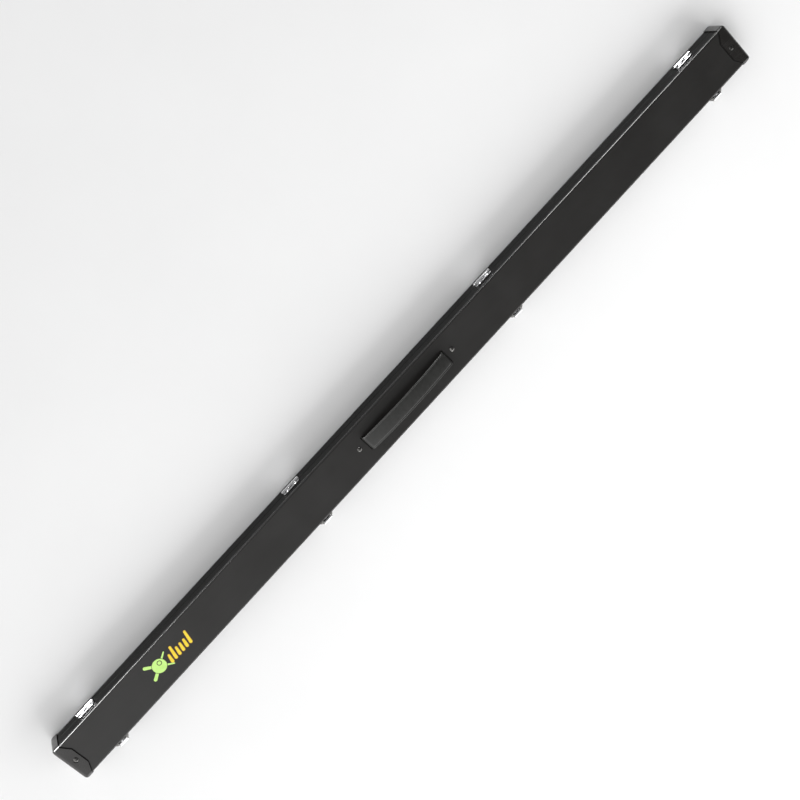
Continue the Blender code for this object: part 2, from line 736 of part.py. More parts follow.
def lever_outline():
    """The lever's section: a plate bent over the pin, a finger lip, and a claw that meets the bead."""
    outer = arc((0, 0), LEVER_OUTER, LEVER_HOOD, -20, LEVER_HOOD_STEPS)
    inner = arc((0, 0), LEVER_INNER, -15, LEVER_HOOD, LEVER_HOOD_STEPS)
    return outer + list(LEVER_LIP) + list(LEVER_CLAW) + inner


def latch_lever():
    body = bmesh.new()
    half = LEVER_WIDTH / 2
    prism(body, lever_outline(), out_local, -half, half)
    hubs = bmesh.new()
    for sign in (-1, 1):
        start, end = X_AXIS * (sign * half), X_AXIS * (sign * (half - HUB_LENGTH))
        cylinder(hubs, HUB_RADIUS, start - X_AXIS * (sign * 0.0001), end, 16)
    bores = bmesh.new()
    cylinder(bores, LATCH_PIN_RADIUS + GAP, X_AXIS * -half * 2, X_AXIS * half * 2, 10)
    return carved("latch_lever", body, [("UNION", hubs), ("DIFFERENCE", bores)])


def latch_spring():
    """A torsion spring on the pin: coils between the hubs, one leg to the lever, one to the plate."""
    curve = bpy.data.curves.new("latch_spring", "CURVE")
    curve.dimensions = "3D"
    curve.bevel_depth = SPRING_WIRE
    curve.bevel_resolution = 1
    curve.use_fill_caps = True
    per_turn = 8
    count = int(per_turn * (SPRING_TURNS - 0.5))
    length = SPRING_PITCH * count / per_turn
    points = [(-length / 2, *SPRING_LEVER_LEG)]
    for step in range(count + 1):
        angle = 2 * math.pi * step / per_turn
        along = -length / 2 + SPRING_PITCH * step / per_turn
        points.append((along, SPRING_RADIUS * math.cos(angle), SPRING_RADIUS * math.sin(angle)))
    points.append((length / 2, *SPRING_PLATE_LEG))
    spline = curve.splines.new("POLY")
    spline.points.add(len(points) - 1)
    for point, (along, out, up) in zip(spline.points, points):
        point.co = (along, -out, up, 1.0)
    return curve


def latch_strike():
    """The catch on the base, drawn about the seam: a plate with a rolled bead for the claw."""
    body = bmesh.new()
    outline = chamfered(STRIKE_WIDTH / 2, -STRIKE_BOTTOM, -STRIKE_TOP, LATCH_PLATE_CHAMFER, cut_high=False)
    prism(body, outline, lambda x, z, out: (x, -out, z), GAP, GAP + LEAF_THICK)
    neck = bmesh.new()
    half = BEAD_LENGTH / 2
    inset = half - 0.0002
    web = rectangle((GAP + 0.0006, -BEAD_H - NECK_HALF), (BEAD_OUT, -BEAD_H + NECK_HALF))
    prism(neck, web, out_local, -inset, inset)
    bead = bmesh.new()
    prism(bead, ring((BEAD_OUT, -BEAD_H), BEAD_RADIUS, 14), out_local, -half, half)
    rivets = bmesh.new()
    for sign in (-1, 1):
        middle = Vector((sign * STRIKE_RIVET_X, -GAP - LEAF_THICK, -STRIKE_RIVET_H))
        plate_rivet(rivets, middle, -Y_AXIS, LEAF_THICK)
    return carved("latch_strike", body, [("UNION", neck), ("UNION", bead), ("UNION", rivets)])


# Assembly.


def shell(side, label, parent, finishes):
    put(label + "_panel", panel(side), finishes["panel"], parent)
    for edge, word in ((FRONT, "front"), (BACK, "back")):
        put(f"{label}_{word}_rail", rail(side, edge), finishes["rail"], parent)
    for end, word in ((-1, "left"), (1, "right")):
        put(f"{label}_{word}_end_board", end_board(side, end), finishes["board"], parent)
        moulded = put(f"{label}_{word}_cap", cap(side, end), finishes["cap"], parent)
        smooth(moulded.data)
        put(f"{label}_{word}_cap_rivet", cap_rivet(side, end), finishes["dark"], parent)


def hinges(base, lid, finishes):
    leaves = {LID: hinge_leaf(LID), BASE: hinge_leaf(BASE)}
    for data in leaves.values():
        smooth(data)
    pin = headed_pin(HINGE_PIN_RADIUS, HINGE_LENGTH / 2 + GAP, HINGE_PIN_RADIUS + 0.0008)
    for number, x in enumerate(STATIONS, start=1):
        place = (x, HINGE_Y, SEAM_Z)
        put(f"hinge_leaf_lid_{number}", leaves[LID], finishes["chrome"], lid, place)
        put(f"hinge_leaf_base_{number}", leaves[BASE], finishes["chrome"], base, place)
        put(f"hinge_pin_{number}", pin, finishes["chrome"], base, place)


def latches(base, lid, finishes):
    plate, lever, strike = latch_plate(), latch_lever(), latch_strike()
    for data in (plate, lever, strike):
        smooth(data)
    pin = latch_pin()
    spring = latch_spring()
    for number, x in enumerate(STATIONS, start=1):
        place = (x, PIVOT_Y, PIVOT_Z)
        put(f"latch_plate_{number}", plate, finishes["dark"], lid, place)
        put(f"latch_strike_{number}", strike, finishes["chrome"], base, (x, -HALF_WIDTH, SEAM_Z))
        swing = pivot(f"latch_pivot_{number}", place, lid)
        put(f"latch_lever_{number}", lever, finishes["chrome"], swing, place)
        put(f"latch_pin_{number}", pin, finishes["chrome"], lid, place)
        put(f"latch_spring_{number}", spring, finishes["steel"], lid, place)


def handle(lid, finishes):
    lift = pivot("handle_lift", (0, 0, SEAM_Z + HALF_DEPTH), lid)
    strap = put("handle_strap", handle_strap(), finishes["strap"], lift)
    smooth(strap.data)
    for end, word in ((-1, "left"), (1, "right")):
        put(f"handle_keeper_{word}", handle_keeper(end), finishes["steel"], lid)
        put(f"handle_rivet_{word}", handle_rivet(end), finishes["dark"], lid)


def build():
    clear_scene()
    finishes = {
        "panel": material("panel_laminate", (0.030, 0.029, 0.028), 0.50),
        "rail": material("rail_laminate", (0.022, 0.021, 0.021), 0.42),
        "board": material("end_board_plywood", (0.35, 0.24, 0.14), 0.70),
        "cap": material("cap_gloss_plastic", (0.012, 0.012, 0.012), 0.22),
        "dark": material("blackened_rivet", (0.020, 0.020, 0.020), 0.30, 0.6),
        "lining": material("velvet_foam", (0.050, 0.050, 0.055), 0.95),
        "strap": material("strap_leatherette", (0.032, 0.032, 0.028), 0.55),
        "chrome": material("chrome", (0.80, 0.80, 0.81), 0.12, 1.0),
        "steel": material("spring_steel", (0.45, 0.45, 0.46), 0.35, 1.0),
    }
    base = pivot("base", (0, 0, 0))
    lid = pivot("lid", (0, HINGE_Y, SEAM_Z), base)
    shell(BASE, "base", base, finishes)
    shell(LID, "lid", lid, finishes)
    put("base_lining", base_lining(), finishes["lining"], base)
    put("lid_butt_lining", lid_butt_lining(), finishes["lining"], lid)
    put("lid_shaft_lining", lid_shaft_lining(), finishes["lining"], lid)
    handle(lid, finishes)
    hinges(base, lid, finishes)
    latches(base, lid, finishes)


build()
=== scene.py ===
"""Looks for the cue case: materials, soft pieces, printed mark, floor, light and camera.

Everything is in metres in the frame's own axes: X along the case, +Z up through the handle, hinges at +Y,
latches at -Y. Pieces made here sit at the origin, as the CAD nodes do, so object coordinates in a material
are always places on the case at rest.
"""

import json
import math

import bmesh
import bpy
from mathutils import Matrix, Vector, noise

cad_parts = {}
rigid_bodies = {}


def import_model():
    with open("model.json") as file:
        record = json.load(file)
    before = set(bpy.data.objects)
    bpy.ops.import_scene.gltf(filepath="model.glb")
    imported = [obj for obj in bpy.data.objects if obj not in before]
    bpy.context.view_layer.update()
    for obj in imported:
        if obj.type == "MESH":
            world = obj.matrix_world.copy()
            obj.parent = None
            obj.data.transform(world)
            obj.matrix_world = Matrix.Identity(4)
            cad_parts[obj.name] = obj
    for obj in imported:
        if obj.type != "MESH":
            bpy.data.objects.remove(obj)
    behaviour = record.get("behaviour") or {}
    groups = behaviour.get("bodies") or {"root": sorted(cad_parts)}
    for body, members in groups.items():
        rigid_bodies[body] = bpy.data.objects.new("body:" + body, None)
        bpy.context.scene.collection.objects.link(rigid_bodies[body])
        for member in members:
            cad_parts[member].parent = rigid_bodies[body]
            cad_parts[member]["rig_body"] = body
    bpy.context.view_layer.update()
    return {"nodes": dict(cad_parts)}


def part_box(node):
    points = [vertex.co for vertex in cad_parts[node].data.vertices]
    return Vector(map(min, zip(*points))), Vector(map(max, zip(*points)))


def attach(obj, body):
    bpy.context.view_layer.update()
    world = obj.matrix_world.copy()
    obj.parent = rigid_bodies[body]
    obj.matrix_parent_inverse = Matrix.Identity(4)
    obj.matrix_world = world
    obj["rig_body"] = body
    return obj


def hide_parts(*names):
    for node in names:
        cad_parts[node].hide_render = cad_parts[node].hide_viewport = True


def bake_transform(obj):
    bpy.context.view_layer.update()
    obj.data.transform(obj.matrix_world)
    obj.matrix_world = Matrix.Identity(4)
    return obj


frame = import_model()

GAP = 0.0003
SEAM_Z = (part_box("base_panel")[0].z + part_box("lid_panel")[1].z) / 2
FACE_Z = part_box("lid_panel")[1].z

# The shell's vinyl: 1 / its half-width, and its roughness where it turns the long edges.
EDGE_SCALE = 1 / 0.035
EDGE_ROUGHNESS = 0.26

# How CAD nodes are refined: weld distance, the angle under which faces join, and the angle of a sharp edge.
WELD = 0.000002
FLAT_ANGLE = math.radians(0.5)
SHARP_ANGLE = math.radians(38)
SMOOTH_BELOW = 42
EDGE_BREAK = {
    "panel": 0.0002, "cap": 0.0005, "cap_rivet": 0.0001, "handle_rivet": 0.0001, "hinge": 0.00012,
    "latch": 0.00012,
}

# The strap: its middle line and its cross-section.
STRAP_HALF_WIDTH = 0.013
STRAP_HALF = 0.0016
STRAP_SLOT_X = 0.0903
STRAP_BEND = 0.003
STRAP_SHOULDER = 0.005
STRAP_SLOPE = math.radians(9.0)
STRAP_TIP = 0.1113
TONGUE_Z = SEAM_Z + 0.016 - STRAP_HALF
STRAP_CROWN_Z = FACE_Z + 0.016 - STRAP_HALF
TONGUE_HOLE_X = 0.1055
TONGUE_HOLE_Y = 0.002
TONGUE_HOLE_RADIUS = 0.0023
TONGUE_HOLE_STRETCH = 1.5
SEAM_FROM_EDGE = 0.0024
STITCH_PITCH = 0.0032
STITCH_LENGTH = 0.0022
STITCH_RADIUS = 0.00028

# The linings.
CUE_GROOVE = (-0.0082, 0.016)
REST_GROOVE = (0.0178, 0.006)
LINING_SIDE = 0.0282
LINING_SHOULDER = 0.0021
LINING_LIP = 0.0016
LINING_BACK = 0.0184
LINING_STEP = 0.006
LINING_TUCK = 0.0016
LINING_TUCK_REACH = 0.008
LINING_SOFT = 0.00035
LINING_WAVES = (28, 90, 7.0)
BASE_DEPTHS = (0.0172, 0.0117)
LID_BUTT_DEPTH = 0.0122
LID_SHAFT_DEPTH = 0.0057
KEEPER_ZONE = (0.0860, 0.1175)
KEEPER_BACK = 0.0095

# The mark: a ball over two crossed cues, and a row of slanted bars.
MARK_X = -0.559
MARK_Y = 0.003
BALL_RADIUS = 0.0118
MARK_LIFT = 0.00002
MARK_THICK = 0.00012
INK_EDGE = 0.0007
CUE_REACH = 0.0230
CUE_ANGLES = (math.radians(28), math.radians(-40))
CUE_WIDTHS = (0.0056, 0.0022)
CUE_EDGE_WIDTHS = (0.0068, 0.0032)
SPOT_OFFSET = 0.0035
SPOT_RADIUS = 0.0042
GLINT_RADIUS = 0.0030
BARS = 6
TALL_BARS = (1, 5)
BAR_START = 0.0185
BAR_PITCH = 0.0082
BAR_Y = -0.0075
BAR_ANGLE = math.radians(74)
BAR_LENGTHS = (0.0115, 0.0195)
BAR_WIDTHS = (0.0050, 0.0036)
BAR_EDGE_WIDTHS = (0.0064, 0.0050)

# The bead round each lid tab, a painted shadow line at the tab's edge: the tab's corners as (inward from the
# end, across), and the bead's section.
TAB_LINE = ((0.0150, 0.0315), (0.0237, 0.0166))
TAB_CORNER = 0.0011
BEAD_OUTSIDE = 0.0013
BEAD_HEIGHT = 0.00035
BEAD_LIFT = 0.00002
BEAD_SECTION = ((0.0, 0.00002), (0.0, 0.9), (0.35, 1.0), (0.75, 0.7), (1.0, 0.00002))

# The surroundings' brightness against direction, from -1 at 0 to +1 at 1: along X, then a factor along Y.
SKY = (
    (0.0, 1.8), (0.28, 1.8), (0.36, 1.20), (0.45, 0.33), (0.61, 0.35), (0.66, 0.18), (0.74, 0.07), (1.0, 0.5),
)
BEHIND = ((0.50, 1.0), (0.82, 0.72))
FLOOR_REACH = 40.0
FLOOR_STEPS = 6
FLOOR_Z = -0.0002

# The camera: what it looks at, from how far, and its angles.
CAMERA_AIM = Vector((-0.0072, 0.0082, 0.0477))
CAMERA_DISTANCE = 2.256
CAMERA_AZIMUTH = math.radians(94.967)
CAMERA_ELEVATION = math.radians(69.297)
CAMERA_ROLL = math.radians(47.37)
CAMERA_LENS = 65.56


# Node helpers.


def new_material(name):
    made = bpy.data.materials.new(name)
    made.use_nodes = True
    made.node_tree.nodes.clear()
    shader = made.node_tree.nodes.new("ShaderNodeBsdfPrincipled")
    output = made.node_tree.nodes.new("ShaderNodeOutputMaterial")
    made.node_tree.links.new(shader.outputs["BSDF"], output.inputs["Surface"])
    return made, shader


def add(made, kind, **values):
    """A node with its properties and unlinked inputs set by name."""
    node = made.node_tree.nodes.new(kind)
    for key, value in values.items():
        if key in node.inputs:
            node.inputs[key].default_value = value
        else:
            setattr(node, key, value)
    return node


def link(made, source, target):
    made.node_tree.links.new(source, target)


def places(made, stretch=(1, 1, 1)):
    """Object coordinates, stretched: an axis with a small factor has long marks along it."""
    coordinates = add(made, "ShaderNodeTexCoord")
    mapping = add(made, "ShaderNodeMapping")
    mapping.inputs["Scale"].default_value = stretch
    link(made, coordinates.outputs["Object"], mapping.inputs["Vector"])
    return mapping.outputs["Vector"]


def noise_at(made, vector, scale, detail=3.0, rough=0.55):
    node = add(made, "ShaderNodeTexNoise", Scale=scale, Detail=detail, Roughness=rough)
    link(made, vector, node.inputs["Vector"])
    return node.outputs["Fac"]


def cells_at(made, vector, scale, feature="F1"):
    node = add(made, "ShaderNodeTexVoronoi", Scale=scale, feature=feature)
    link(made, vector, node.inputs["Vector"])
    return node.outputs["Distance"]


def ramp(made, factor, low, high, at_low=0.0, at_high=1.0):
    """A colour or grey that runs from low to high as the factor runs between the two places."""
    node = add(made, "ShaderNodeValToRGB")
    for element, place, value in zip(node.color_ramp.elements, (at_low, at_high), (low, high)):
        element.position = place
        element.color = (*value, 1) if isinstance(value, tuple) else (value, value, value, 1)
    link(made, factor, node.inputs["Fac"])
    return node.outputs["Color"]


def mixed(made, factor, first, second, blend="MIX"):
    node = add(made, "ShaderNodeMix", data_type="RGBA", blend_type=blend)
    if isinstance(factor, bpy.types.NodeSocket):
        link(made, factor, node.inputs[0])
    else:
        node.inputs[0].default_value = factor
    for value, socket in ((first, node.inputs[6]), (second, node.inputs[7])):
        if isinstance(value, bpy.types.NodeSocket):
            link(made, value, socket)
        else:
            socket.default_value = (*value, 1) if isinstance(value, tuple) else (value, value, value, 1)
    return node.outputs[2]


def math_node(made, operation, first, second=0.0):
    node = add(made, "ShaderNodeMath", operation=operation)
    for value, socket in zip((first, second), node.inputs):
        if isinstance(value, bpy.types.NodeSocket):
            link(made, value, socket)
        else:
            socket.default_value = value
    return node.outputs[0]


def axis_of(made, axis):
    """One object coordinate as a value."""
    split = add(made, "ShaderNodeSeparateXYZ")
    link(made, places(made), split.inputs[0])
    return split.outputs[axis]


def bumped(made, shader, layers):
    """Stacks bump layers, each (height, strength, distance), onto the shader's normal."""
    normal = None
    for height, strength, distance in layers:
        node = add(made, "ShaderNodeBump", Strength=strength, Distance=distance)
        link(made, height, node.inputs["Height"])
        if normal is not None:
            link(made, normal, node.inputs["Normal"])
        normal = node.outputs["Normal"]
    link(made, normal, shader.inputs["Normal"])


def set_inputs(shader, values):
    for key, value in values.items():
        shader.inputs[key].default_value = value


# Materials.


def laminate(name, dark, light, rough_low, rough_high, specular):
    """Black vinyl on the shell: fine pebble, slow mottling, polished where it turns the long edges."""
    made, shader = new_material(name)
    here = places(made)
    along = places(made, (0.25, 1, 1))
    mottle = noise_at(made, along, 60, 4, 0.6)
    speckle = noise_at(made, here, 900, 2, 0.5)
    tone = ramp(made, mottle, dark, light, 0.3, 0.7)
    tone = mixed(made, 0.35, tone, ramp(made, speckle, 0.75, 1.2, 0.35, 0.65), "MULTIPLY")
    link(made, tone, shader.inputs["Base Color"])
    smudge = noise_at(made, here, 14, 5, 0.65)
    gloss = ramp(made, smudge, rough_low, rough_high, 0.3, 0.72)
    across = math_node(made, "ABSOLUTE", axis_of(made, "Y"))
    turned = ramp(made, math_node(made, "MULTIPLY", across, EDGE_SCALE), 0.0, 1.0, 0.90, 0.94)
    gloss = mixed(made, turned, gloss, EDGE_ROUGHNESS)
    link(made, gloss, shader.inputs["Roughness"])
    pebble = cells_at(made, here, 1500, "SMOOTH_F1")
    bumped(made, shader, [(pebble, 0.20, 0.0002)])
    set_inputs(shader, {"Specular IOR Level": specular})
    return made


def moulded_plastic():
    """Glossy black end caps: a faint moulding texture, hazy patches and fine scratches."""
    made, shader = new_material("cap_gloss_black")
    here = places(made)
    cloud = noise_at(made, here, 55, 4, 0.6)
    tone = ramp(made, cloud, (0.0085, 0.0076, 0.0068), (0.0125, 0.0112, 0.0100), 0.3, 0.7)
    link(made, tone, shader.inputs["Base Color"])
    scratch = noise_at(made, places(made, (0.08, 1, 1)), 900, 2, 0.5)
    patches = ramp(made, cloud, 0.20, 0.32, 0.35, 0.7)
    haze = mixed(made, 0.3, patches, ramp(made, scratch, 0.16, 0.40, 0.45, 0.7))
    link(made, haze, shader.inputs["Roughness"])
    grain = noise_at(made, here, 1800, 2, 0.5)
    bumped(made, shader, [(grain, 0.10, 0.0001), (scratch, 0.05, 0.0001)])
    set_inputs(shader, {"Specular IOR Level": 0.5, "Coat Weight": 0.35, "Coat Roughness": 0.12})
    return made


def blackened_metal():
    """Rivets: black oxide, rubbed bright in scattered patches."""
    made, shader = new_material("rivet_black_oxide")
    here = places(made)
    wear = noise_at(made, here, 700, 4, 0.65)
    tone = ramp(made, wear, (0.045, 0.044, 0.043), (0.26, 0.255, 0.245), 0.42, 0.75)
    link(made, tone, shader.inputs["Base Color"])
    link(made, ramp(made, wear, 0.10, 0.20, 0.3, 0.7), shader.inputs["Roughness"])
    bumped(made, shader, [(noise_at(made, here, 2600, 2), 0.12, 0.0001)])
    set_inputs(shader, {"Metallic": 0.9})
    return made


def chrome(name, low, high, rough_low, rough_high):
    """Bright plating: smudges in its gloss, hairline scratches, faint pitting."""
    made, shader = new_material(name)
    here = places(made)
    smudge = noise_at(made, here, 160, 4, 0.6)
    link(made, ramp(made, smudge, low, high, 0.3, 0.7), shader.inputs["Base Color"])
    scratch = noise_at(made, places(made, (0.06, 1, 1)), 1500, 2, 0.5)
    gloss = mixed(made, 0.45, ramp(made, smudge, rough_low, rough_high, 0.35, 0.7),
                  ramp(made, scratch, rough_low, rough_high, 0.45, 0.7))
    link(made, gloss, shader.inputs["Roughness"])
    pits = cells_at(made, here, 1100)
    bumped(made, shader, [(scratch, 0.05, 0.0001), (ramp(made, pits, 0.0, 1.0, 0.0, 0.09), 0.08, 0.0001)])
    set_inputs(shader, {"Metallic": 1.0})
    return made


def plywood():
    """End boards: black-painted plywood, its plies and grain just showing through the paint."""
    made, shader = new_material("board_painted_ply")
    plies = add(made, "ShaderNodeTexWave", Scale=230, Distortion=1.2, Detail=2, bands_direction="X")
    link(made, places(made), plies.inputs["Vector"])
    grain = noise_at(made, places(made, (1, 0.06, 1)), 800, 4, 0.6)
    tone = ramp(made, plies.outputs["Color"], (0.012, 0.011, 0.010), (0.030, 0.027, 0.023), 0.2, 0.8)
    tone = mixed(made, 0.5, tone, ramp(made, grain, 0.6, 1.15, 0.35, 0.7), "MULTIPLY")
    link(made, tone, shader.inputs["Base Color"])
    link(made, ramp(made, grain, 0.55, 0.8, 0.3, 0.7), shader.inputs["Roughness"])
    bumped(made, shader, [(grain, 0.25, 0.0002)])
    return made


def velvet():
    """The lining's flocked velvet: crushed patches of nap over fine pile."""
    made, shader = new_material("lining_velvet")
    here = places(made)
    nap = noise_at(made, places(made, (0.5, 1, 1)), 70, 4, 0.65)
    pile = noise_at(made, here, 2800, 3, 0.7)
    tone = ramp(made, nap, (0.012, 0.012, 0.014), (0.034, 0.034, 0.039), 0.32, 0.7)
    tone = mixed(made, 0.6, tone, ramp(made, pile, 0.5, 1.5, 0.35, 0.65), "MULTIPLY")
    link(made, tone, shader.inputs["Base Color"])
    link(made, ramp(made, nap, 0.80, 0.97, 0.3, 0.7), shader.inputs["Roughness"])
    bumped(made, shader, [(pile, 0.55, 0.0004), (nap, 0.25, 0.0010)])
    set_inputs(shader, {"Specular IOR Level": 0.2, "Sheen Weight": 0.7, "Sheen Roughness": 0.35})
    return made


def leatherette():
    """The strap: fine leather grain in creased cells, paler along its two edges from rubbed wear and a
    painted sheen.
    """
    made, shader = new_material("strap_leatherette")
    here = places(made)
    cells = cells_at(made, here, 1250, "SMOOTH_F1")
    crease = noise_at(made, places(made, (1, 0.35, 1)), 420, 4, 0.6)
    mottle = noise_at(made, here, 90, 4, 0.6)
    tone = ramp(made, mottle, (0.0065, 0.0067, 0.0054), (0.0110, 0.0112, 0.0095), 0.3, 0.7)
    tone = mixed(made, 0.5, tone, ramp(made, cells, 1.12, 0.72, 0.1, 0.75), "MULTIPLY")
    across = math_node(made, "ABSOLUTE", axis_of(made, "Y"))
    # Paler along both edges: partly rubbed wear, partly a painted sheen.
    edge_wear_and_sheen = ramp(made, math_node(made, "DIVIDE", across, STRAP_HALF_WIDTH), 0.0, 0.5, 0.90, 1.0)
    tone = mixed(made, edge_wear_and_sheen, tone, (0.040, 0.040, 0.036))
    link(made, tone, shader.inputs["Base Color"])
    link(made, ramp(made, crease, 0.32, 0.48, 0.3, 0.7), shader.inputs["Roughness"])
    bumped(made, shader, [(cells, 0.25, 0.0002), (crease, 0.12, 0.0002)])
    set_inputs(shader, {"Specular IOR Level": 0.5})
    return made


def shadow_bead_finish():
    """The black bead round the cap tabs, a painted shadow line where the tabs meet the panel: matt, very
    dark, a little lumpy.
    """
    made, shader = new_material("bead_painted_shadow")
    lumps = noise_at(made, places(made), 600, 3, 0.6)
    tone = ramp(made, lumps, (0.0022, 0.0021, 0.0020), (0.0040, 0.0039, 0.0037), 0.3, 0.7)
    link(made, tone, shader.inputs["Base Color"])
    link(made, ramp(made, lumps, 0.62, 0.85, 0.3, 0.7), shader.inputs["Roughness"])
    bumped(made, shader, [(lumps, 0.2, 0.0002)])
    set_inputs(shader, {"Specular IOR Level": 0.1})
    return made


def thread():
    """The strap's stitches: twisted, slightly fuzzy black thread."""
    made, shader = new_material("strap_thread")
    twist = add(made, "ShaderNodeTexWave", Scale=1400, Distortion=0.5, bands_direction="DIAGONAL")
    link(made, places(made), twist.inputs["Vector"])
    tone = ramp(made, twist.outputs["Color"], (0.012, 0.012, 0.011), (0.030, 0.030, 0.027))
    link(made, tone, shader.inputs["Base Color"])
    bumped(made, shader, [(twist.outputs["Fac"], 0.4, 0.0002)])
    set_inputs(shader, {"Roughness": 0.7, "Sheen Weight": 0.2, "Sheen Roughness": 0.4})
    return made


def ink(name, thin, full):
    """Screen-printed ink: a little thinner in specks, with a soft orange-peel gloss."""
    made, shader = new_material(name)
    here = places(made)
    speck = noise_at(made, here, 1300, 3, 0.6)
    cloud = noise_at(made, here, 110, 3, 0.6)
    specks = ramp(made, speck, thin, full, 0.25, 0.5)
    tone = mixed(made, 0.5, specks, ramp(made, cloud, thin, full, 0.2, 0.5))
    link(made, tone, shader.inputs["Base Color"])
    link(made, ramp(made, cloud, 0.34, 0.5, 0.3, 0.7), shader.inputs["Roughness"])
    bumped(made, shader, [(speck, 0.12, 0.0001)])
    return made


def pale_floor():
    """A matt, nearly white studio floor with faint slow clouding."""
    made, shader = new_material("studio_floor")
    cloud = noise_at(made, places(made), 2.5, 4, 0.6)
    tone = ramp(made, cloud, (0.91, 0.91, 0.91), (0.94, 0.94, 0.94), 0.3, 0.7)
    link(made, tone, shader.inputs["Base Color"])
    set_inputs(shader, {"Roughness": 0.9, "Specular IOR Level": 0.1})
    return made


def dress(node, made):
    """Gives a carried-over CAD node its material."""
    data = frame["nodes"][node].data
    data.materials.clear()
    data.materials.append(made)


# Mesh helpers.


def linked(name, data, made):
    piece = bpy.data.objects.new(name, data)
    bpy.context.scene.collection.objects.link(piece)
    data.materials.append(made)
    return piece


def smooth(data, degrees=35):
    data.shade_smooth()
    data.set_sharp_from_angle(angle=math.radians(degrees))


def mesh_from(name, mesh, degrees=35):
    bmesh.ops.recalc_face_normals(mesh, faces=mesh.faces)
    data = bpy.data.meshes.new(name)
    mesh.to_mesh(data)
    mesh.free()
    smooth(data, degrees)
    return data


def skin(mesh, rings):
    """Closes a row of equal rings of points into one solid."""
    loops = [[mesh.verts.new(point) for point in ring] for ring in rings]
    for first, second in zip(loops, loops[1:]):
        for index in range(len(first)):
            after = (index + 1) % len(first)
            mesh.faces.new((first[index], first[after], second[after], second[index]))
    mesh.faces.new(loops[0][::-1])
    mesh.faces.new(loops[-1])


def blob(mesh, middle, length_axis, length, radius, around=8, along=5):
    """A small rounded spindle, such as one stitch."""
    axis = length_axis.normalized()
    side = axis.orthogonal().normalized()
    up = axis.cross(side)
    rings = []
    for step in range(1, along):
        angle = math.pi * step / along
        centre = middle - axis * (length / 2 * math.cos(angle))
        wide = radius * math.sin(angle) ** 0.6
        rings.append([centre + wide * (math.cos(2 * math.pi * k / around) * side
                                       + math.sin(2 * math.pi * k / around) * up) for k in range(around)])
    skin(mesh, rings)


def settle(piece):
    """Bakes the piece's modifiers into its mesh."""
    bpy.context.view_layer.update()
    data = bpy.data.meshes.new_from_object(piece.evaluated_get(bpy.context.evaluated_depsgraph_get()))
    piece.modifiers.clear()
    piece.data = data


# CAD nodes shown as finer copies of themselves.


def refined(node, made, edge):
    """A copy of a CAD node with its facets smoothed and its sharp edges broken by edge metres."""
    source = frame["nodes"][node]
    mesh = bmesh.new()
    mesh.from_mesh(source.data)
    bmesh.ops.remove_doubles(mesh, verts=mesh.verts, dist=WELD)
    bmesh.ops.dissolve_limit(mesh, angle_limit=FLAT_ANGLE, verts=mesh.verts, edges=mesh.edges)
    data = bpy.data.meshes.new("fine_" + node)
    mesh.to_mesh(data)
    mesh.free()
    piece = linked("fine_" + node, data, made)
    rounding = piece.modifiers.new("edges", "BEVEL")
    rounding.width = edge
    rounding.segments = 2
    rounding.limit_method = "ANGLE"
    rounding.angle_limit = SHARP_ANGLE
    settle(piece)
    smooth(piece.data, SMOOTH_BELOW)
    flatter = piece.modifiers.new("normals", "WEIGHTED_NORMAL")
    flatter.keep_sharp = True
    settle(piece)
    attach(piece, source["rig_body"])
    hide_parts(node)


# The strap.


def strap_centre():
    """The strap's middle line from its tucked-in left tip to its crown, as (x, z, heading)."""
    tucked = STRAP_TIP - STRAP_SLOT_X - STRAP_BEND
    line = [(-STRAP_TIP + tucked * k / 12, TONGUE_Z, 0.0) for k in range(12)]
    for k in range(10):
        heading = math.pi / 2 * k / 10
        x = -STRAP_SLOT_X - STRAP_BEND + STRAP_BEND * math.sin(heading)
        line.append((x, TONGUE_Z + STRAP_BEND * (1 - math.cos(heading)), heading))
    shoulder_x = -STRAP_SLOT_X + STRAP_SHOULDER
    radius = -(shoulder_x - STRAP_SHOULDER * math.sin(STRAP_SLOPE)) / math.sin(STRAP_SLOPE)
    shoulder_z = STRAP_CROWN_Z - radius * (1 - math.cos(STRAP_SLOPE)) - STRAP_SHOULDER * math.cos(STRAP_SLOPE)
    rise = TONGUE_Z + STRAP_BEND
    for k in range(12):
        line.append((-STRAP_SLOT_X, rise + (shoulder_z - rise) * k / 12, math.pi / 2))
    for k in range(16):
        heading = math.pi / 2 + (STRAP_SLOPE - math.pi / 2) * k / 16
        x = shoulder_x - STRAP_SHOULDER * math.sin(heading)
        line.append((x, shoulder_z + STRAP_SHOULDER * math.cos(heading), heading))
    for k in range(31):
        heading = STRAP_SLOPE * (1 - k / 30)
        line.append((-radius * math.sin(heading), STRAP_CROWN_Z - radius * (1 - math.cos(heading)), heading))
    return line


def strap_section():
    """The strap's section as (y, t): a crowned middle between two stitched hems, and a flat underside."""
    seam = STRAP_HALF_WIDTH - SEAM_FROM_EDGE
    upper = []
    for k in range(11):
        y = (seam - 0.0007) * k / 10
        upper.append((y, STRAP_HALF - 0.00035 * (k / 10) ** 3))
    upper += [(seam - 0.0003, STRAP_HALF - 0.00060), (seam, STRAP_HALF - 0.00070)]
    upper += [(seam + 0.0003, STRAP_HALF - 0.00058), (seam + 0.0007, STRAP_HALF - 0.00036)]
    edge = 0.0010
    for k in range(9):
        angle = math.pi / 2 - math.pi * k / 8
        t = (STRAP_HALF - 0.0004) * math.sin(angle)
        upper.append((STRAP_HALF_WIDTH - edge + edge * math.cos(angle), t if k < 8 else -STRAP_HALF + 0.0002))
    right = upper + [(STRAP_HALF_WIDTH - 0.0018, -STRAP_HALF), (0.004, -STRAP_HALF)]
    left = [(-y, t) for y, t in reversed(right) if y > 0]
    return right + left


def strap_point(x, z, heading, y, t):
    return Vector((x - t * math.sin(heading), y, z + t * math.cos(heading)))


